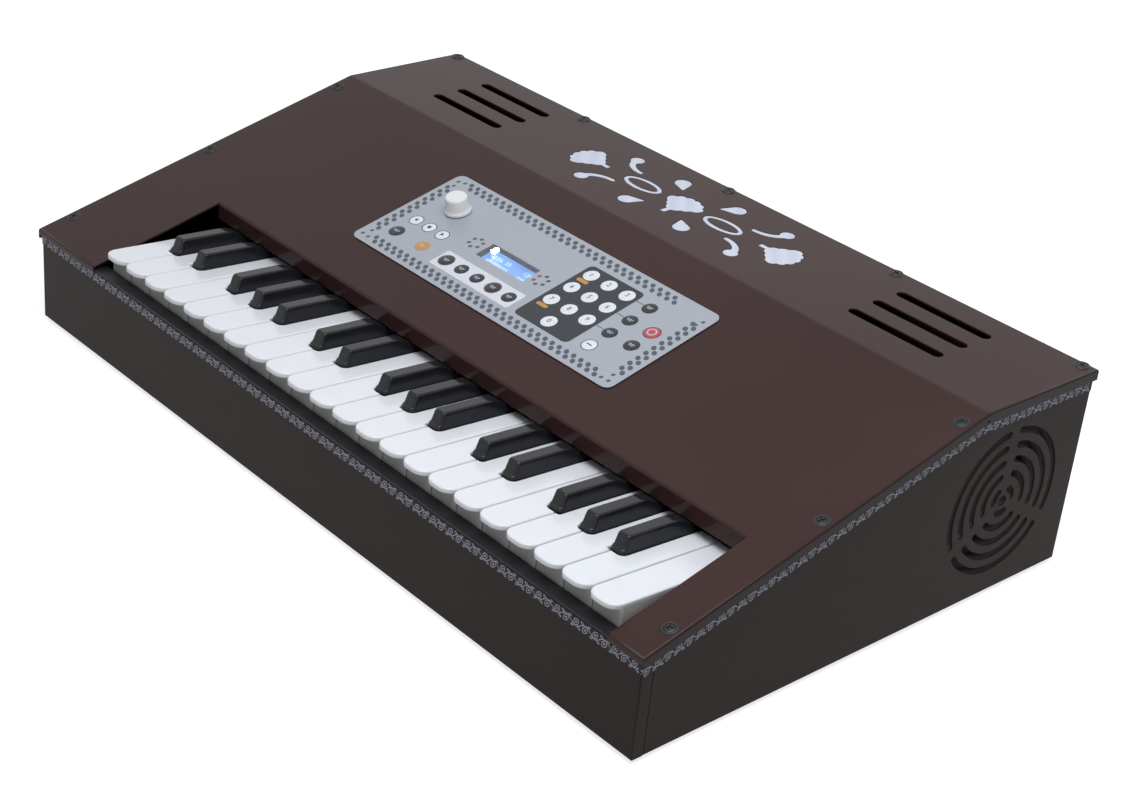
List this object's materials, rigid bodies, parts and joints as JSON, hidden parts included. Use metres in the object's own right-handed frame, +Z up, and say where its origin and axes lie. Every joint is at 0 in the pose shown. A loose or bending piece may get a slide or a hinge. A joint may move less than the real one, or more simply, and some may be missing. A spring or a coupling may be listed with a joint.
{
  "type": "electronic harmonium",
  "caption": "Wedge-shaped table-top electronic harmonium with a piano-style keyboard, sloping control panel, volume knob, vents and side speaker grilles.",
  "frame": {"origin": "on the floor under the middle of the bounding box", "axes": "+X along the keyboard towards the high notes, -Y towards the player, +Z up"},
  "size_m": [0.626, 0.3712, 0.1389],
  "materials": {
    "cover_paint": "semi-gloss maroon brown paint on bent sheet steel",
    "dark_laminate": "dark brown laminate on board",
    "base_board": "plain hardboard",
    "slip_black": "black strip in front of the keys",
    "key_white": "moulded white key plastic",
    "key_black": "moulded charcoal key plastic",
    "panel_foil": "silver-grey printed membrane foil",
    "display": "blue backlit display",
    "knob_white": "white knob",
    "bed_plastic": "key frame plastic",
    "circuit_board": "green circuit board",
    "steel": "plain steel",
    "speaker_black": "paper cone and black basket",
    "frosted_plastic": "white frosted backing sheet",
    "foot_rubber": "black rubber"
  },
  "bodies": {
    "case": {"bottom_board": "base_board", "front_wall": "dark_laminate", "rear_wall": "dark_laminate", "left_side_wall": "dark_laminate", "right_side_wall": "dark_laminate", "top_cover": "cover_paint", "key_slip": "slip_black", "panel_overlay": "panel_foil", "display_module": "display", "volume_control": "steel", "control_board": "circuit_board", "key_frame": "bed_plastic", "key_contact_board": "circuit_board", "key_pivot_rod": "steel", "return_spring_comb": "steel", "left_speaker": "speaker_black", "right_speaker": "speaker_black", "flower_diffuser": "frosted_plastic", "foot_front_left": "foot_rubber", "foot_front_right": "foot_rubber", "foot_rear_left": "foot_rubber", "foot_rear_right": "foot_rubber"},
    "white_key_01": {"white_key_01": "key_white"},
    "black_key_01": {"black_key_01": "key_black"},
    "white_key_02": {"white_key_02": "key_white"},
    "black_key_02": {"black_key_02": "key_black"},
    "white_key_03": {"white_key_03": "key_white"},
    "white_key_04": {"white_key_04": "key_white"},
    "black_key_03": {"black_key_03": "key_black"},
    "white_key_05": {"white_key_05": "key_white"},
    "black_key_04": {"black_key_04": "key_black"},
    "white_key_06": {"white_key_06": "key_white"},
    "black_key_05": {"black_key_05": "key_black"},
    "white_key_07": {"white_key_07": "key_white"},
    "white_key_08": {"white_key_08": "key_white"},
    "black_key_06": {"black_key_06": "key_black"},
    "white_key_09": {"white_key_09": "key_white"},
    "black_key_07": {"black_key_07": "key_black"},
    "white_key_10": {"white_key_10": "key_white"},
    "white_key_11": {"white_key_11": "key_white"},
    "black_key_08": {"black_key_08": "key_black"},
    "white_key_12": {"white_key_12": "key_white"},
    "black_key_09": {"black_key_09": "key_black"},
    "white_key_13": {"white_key_13": "key_white"},
    "black_key_10": {"black_key_10": "key_black"},
    "white_key_14": {"white_key_14": "key_white"},
    "white_key_15": {"white_key_15": "key_white"},
    "black_key_11": {"black_key_11": "key_black"},
    "white_key_16": {"white_key_16": "key_white"},
    "black_key_12": {"black_key_12": "key_black"},
    "white_key_17": {"white_key_17": "key_white"},
    "white_key_18": {"white_key_18": "key_white"},
    "black_key_13": {"black_key_13": "key_black"},
    "white_key_19": {"white_key_19": "key_white"},
    "black_key_14": {"black_key_14": "key_black"},
    "white_key_20": {"white_key_20": "key_white"},
    "black_key_15": {"black_key_15": "key_black"},
    "white_key_21": {"white_key_21": "key_white"},
    "white_key_22": {"white_key_22": "key_white"},
    "volume_knob": {"volume_knob": "knob_white"}
  },
  "joints": [
    {"name": "white_key_01_press", "type": "hinge", "parent": "case", "child": "white_key_01", "pos_m": [-0.22385, -0.0356, 0.0625], "axis": [1, 0, 0], "range_deg": [0, 3.5], "stiffness_Nm_per_rad": 0.65, "springref_deg": -4.41},
    {"name": "black_key_01_press", "type": "hinge", "parent": "case", "child": "black_key_01", "pos_m": [-0.2141, -0.0356, 0.0625], "axis": [1, 0, 0], "range_deg": [0, 3.5], "stiffness_Nm_per_rad": 0.6, "springref_deg": -4.58},
    {"name": "white_key_02_press", "type": "hinge", "parent": "case", "child": "white_key_02", "pos_m": [-0.20035, -0.0356, 0.0625], "axis": [1, 0, 0], "range_deg": [0, 3.5], "stiffness_Nm_per_rad": 0.65, "springref_deg": -4.41},
    {"name": "black_key_02_press", "type": "hinge", "parent": "case", "child": "black_key_02", "pos_m": [-0.1866, -0.0356, 0.0625], "axis": [1, 0, 0], "range_deg": [0, 3.5], "stiffness_Nm_per_rad": 0.6, "springref_deg": -4.58},
    {"name": "white_key_03_press", "type": "hinge", "parent": "case", "child": "white_key_03", "pos_m": [-0.17685, -0.0356, 0.0625], "axis": [1, 0, 0], "range_deg": [0, 3.5], "stiffness_Nm_per_rad": 0.65, "springref_deg": -4.41},
    {"name": "white_key_04_press", "type": "hinge", "parent": "case", "child": "white_key_04", "pos_m": [-0.15335, -0.0356, 0.0625], "axis": [1, 0, 0], "range_deg": [0, 3.5], "stiffness_Nm_per_rad": 0.65, "springref_deg": -4.41},
    {"name": "black_key_03_press", "type": "hinge", "parent": "case", "child": "black_key_03", "pos_m": [-0.1446, -0.0356, 0.0625], "axis": [1, 0, 0], "range_deg": [0, 3.5], "stiffness_Nm_per_rad": 0.6, "springref_deg": -4.58},
    {"name": "white_key_05_press", "type": "hinge", "parent": "case", "child": "white_key_05", "pos_m": [-0.12985, -0.0356, 0.0625], "axis": [1, 0, 0], "range_deg": [0, 3.5], "stiffness_Nm_per_rad": 0.65, "springref_deg": -4.41},
    {"name": "black_key_04_press", "type": "hinge", "parent": "case", "child": "black_key_04", "pos_m": [-0.1181, -0.0356, 0.0625], "axis": [1, 0, 0], "range_deg": [0, 3.5], "stiffness_Nm_per_rad": 0.6, "springref_deg": -4.58},
    {"name": "white_key_06_press", "type": "hinge", "parent": "case", "child": "white_key_06", "pos_m": [-0.10635, -0.0356, 0.0625], "axis": [1, 0, 0], "range_deg": [0, 3.5], "stiffness_Nm_per_rad": 0.65, "springref_deg": -4.41},
    {"name": "black_key_05_press", "type": "hinge", "parent": "case", "child": "black_key_05", "pos_m": [-0.0916, -0.0356, 0.0625], "axis": [1, 0, 0], "range_deg": [0, 3.5], "stiffness_Nm_per_rad": 0.6, "springref_deg": -4.58},
    {"name": "white_key_07_press", "type": "hinge", "parent": "case", "child": "white_key_07", "pos_m": [-0.08285, -0.0356, 0.0625], "axis": [1, 0, 0], "range_deg": [0, 3.5], "stiffness_Nm_per_rad": 0.65, "springref_deg": -4.41},
    {"name": "white_key_08_press", "type": "hinge", "parent": "case", "child": "white_key_08", "pos_m": [-0.05935, -0.0356, 0.0625], "axis": [1, 0, 0], "range_deg": [0, 3.5], "stiffness_Nm_per_rad": 0.65, "springref_deg": -4.41},
    {"name": "black_key_06_press", "type": "hinge", "parent": "case", "child": "black_key_06", "pos_m": [-0.0496, -0.0356, 0.0625], "axis": [1, 0, 0], "range_deg": [0, 3.5], "stiffness_Nm_per_rad": 0.6, "springref_deg": -4.58},
    {"name": "white_key_09_press", "type": "hinge", "parent": "case", "child": "white_key_09", "pos_m": [-0.03585, -0.0356, 0.0625], "axis": [1, 0, 0], "range_deg": [0, 3.5], "stiffness_Nm_per_rad": 0.65, "springref_deg": -4.41},
    {"name": "black_key_07_press", "type": "hinge", "parent": "case", "child": "black_key_07", "pos_m": [-0.0221, -0.0356, 0.0625], "axis": [1, 0, 0], "range_deg": [0, 3.5], "stiffness_Nm_per_rad": 0.6, "springref_deg": -4.58},
    {"name": "white_key_10_press", "type": "hinge", "parent": "case", "child": "white_key_10", "pos_m": [-0.01235, -0.0356, 0.0625], "axis": [1, 0, 0], "range_deg": [0, 3.5], "stiffness_Nm_per_rad": 0.65, "springref_deg": -4.41},
    {"name": "white_key_11_press", "type": "hinge", "parent": "case", "child": "white_key_11", "pos_m": [0.01115, -0.0356, 0.0625], "axis": [1, 0, 0], "range_deg": [0, 3.5], "stiffness_Nm_per_rad": 0.65, "springref_deg": -4.41},
    {"name": "black_key_08_press", "type": "hinge", "parent": "case", "child": "black_key_08", "pos_m": [0.0199, -0.0356, 0.0625], "axis": [1, 0, 0], "range_deg": [0, 3.5], "stiffness_Nm_per_rad": 0.6, "springref_deg": -4.58},
    {"name": "white_key_12_press", "type": "hinge", "parent": "case", "child": "white_key_12", "pos_m": [0.03465, -0.0356, 0.0625], "axis": [1, 0, 0], "range_deg": [0, 3.5], "stiffness_Nm_per_rad": 0.65, "springref_deg": -4.41},
    {"name": "black_key_09_press", "type": "hinge", "parent": "case", "child": "black_key_09", "pos_m": [0.0464, -0.0356, 0.0625], "axis": [1, 0, 0], "range_deg": [0, 3.5], "stiffness_Nm_per_rad": 0.6, "springref_deg": -4.58},
    {"name": "white_key_13_press", "type": "hinge", "parent": "case", "child": "white_key_13", "pos_m": [0.05815, -0.0356, 0.0625], "axis": [1, 0, 0], "range_deg": [0, 3.5], "stiffness_Nm_per_rad": 0.65, "springref_deg": -4.41},
    {"name": "black_key_10_press", "type": "hinge", "parent": "case", "child": "black_key_10", "pos_m": [0.0729, -0.0356, 0.0625], "axis": [1, 0, 0], "range_deg": [0, 3.5], "stiffness_Nm_per_rad": 0.6, "springref_deg": -4.58},
    {"name": "white_key_14_press", "type": "hinge", "parent": "case", "child": "white_key_14", "pos_m": [0.08165, -0.0356, 0.0625], "axis": [1, 0, 0], "range_deg": [0, 3.5], "stiffness_Nm_per_rad": 0.65, "springref_deg": -4.41},
    {"name": "white_key_15_press", "type": "hinge", "parent": "case", "child": "white_key_15", "pos_m": [0.10515, -0.0356, 0.0625], "axis": [1, 0, 0], "range_deg": [0, 3.5], "stiffness_Nm_per_rad": 0.65, "springref_deg": -4.41},
    {"name": "black_key_11_press", "type": "hinge", "parent": "case", "child": "black_key_11", "pos_m": [0.1149, -0.0356, 0.0625], "axis": [1, 0, 0], "range_deg": [0, 3.5], "stiffness_Nm_per_rad": 0.6, "springref_deg": -4.58},
    {"name": "white_key_16_press", "type": "hinge", "parent": "case", "child": "white_key_16", "pos_m": [0.12865, -0.0356, 0.0625], "axis": [1, 0, 0], "range_deg": [0, 3.5], "stiffness_Nm_per_rad": 0.65, "springref_deg": -4.41},
    {"name": "black_key_12_press", "type": "hinge", "parent": "case", "child": "black_key_12", "pos_m": [0.1424, -0.0356, 0.0625], "axis": [1, 0, 0], "range_deg": [0, 3.5], "stiffness_Nm_per_rad": 0.6, "springref_deg": -4.58},
    {"name": "white_key_17_press", "type": "hinge", "parent": "case", "child": "white_key_17", "pos_m": [0.15215, -0.0356, 0.0625], "axis": [1, 0, 0], "range_deg": [0, 3.5], "stiffness_Nm_per_rad": 0.65, "springref_deg": -4.41},
    {"name": "white_key_18_press", "type": "hinge", "parent": "case", "child": "white_key_18", "pos_m": [0.17565, -0.0356, 0.0625], "axis": [1, 0, 0], "range_deg": [0, 3.5], "stiffness_Nm_per_rad": 0.65, "springref_deg": -4.41},
    {"name": "black_key_13_press", "type": "hinge", "parent": "case", "child": "black_key_13", "pos_m": [0.1844, -0.0356, 0.0625], "axis": [1, 0, 0], "range_deg": [0, 3.5], "stiffness_Nm_per_rad": 0.6, "springref_deg": -4.58},
    {"name": "white_key_19_press", "type": "hinge", "parent": "case", "child": "white_key_19", "pos_m": [0.19915, -0.0356, 0.0625], "axis": [1, 0, 0], "range_deg": [0, 3.5], "stiffness_Nm_per_rad": 0.65, "springref_deg": -4.41},
    {"name": "black_key_14_press", "type": "hinge", "parent": "case", "child": "black_key_14", "pos_m": [0.2109, -0.0356, 0.0625], "axis": [1, 0, 0], "range_deg": [0, 3.5], "stiffness_Nm_per_rad": 0.6, "springref_deg": -4.58},
    {"name": "white_key_20_press", "type": "hinge", "parent": "case", "child": "white_key_20", "pos_m": [0.22265, -0.0356, 0.0625], "axis": [1, 0, 0], "range_deg": [0, 3.5], "stiffness_Nm_per_rad": 0.65, "springref_deg": -4.41},
    {"name": "black_key_15_press", "type": "hinge", "parent": "case", "child": "black_key_15", "pos_m": [0.2374, -0.0356, 0.0625], "axis": [1, 0, 0], "range_deg": [0, 3.5], "stiffness_Nm_per_rad": 0.6, "springref_deg": -4.58},
    {"name": "white_key_21_press", "type": "hinge", "parent": "case", "child": "white_key_21", "pos_m": [0.24615, -0.0356, 0.0625], "axis": [1, 0, 0], "range_deg": [0, 3.5], "stiffness_Nm_per_rad": 0.65, "springref_deg": -4.41},
    {"name": "white_key_22_press", "type": "hinge", "parent": "case", "child": "white_key_22", "pos_m": [0.26965, -0.0356, 0.0625], "axis": [1, 0, 0], "range_deg": [0, 3.5], "stiffness_Nm_per_rad": 0.65, "springref_deg": -4.41},
    {"name": "volume_knob_turn", "type": "hinge", "parent": "case", "child": "volume_knob", "pos_m": [-0.097, 0.0147, 0.12216], "axis": [0, -0.247, 0.969], "range_deg": [-150, 150]}
  ]
}
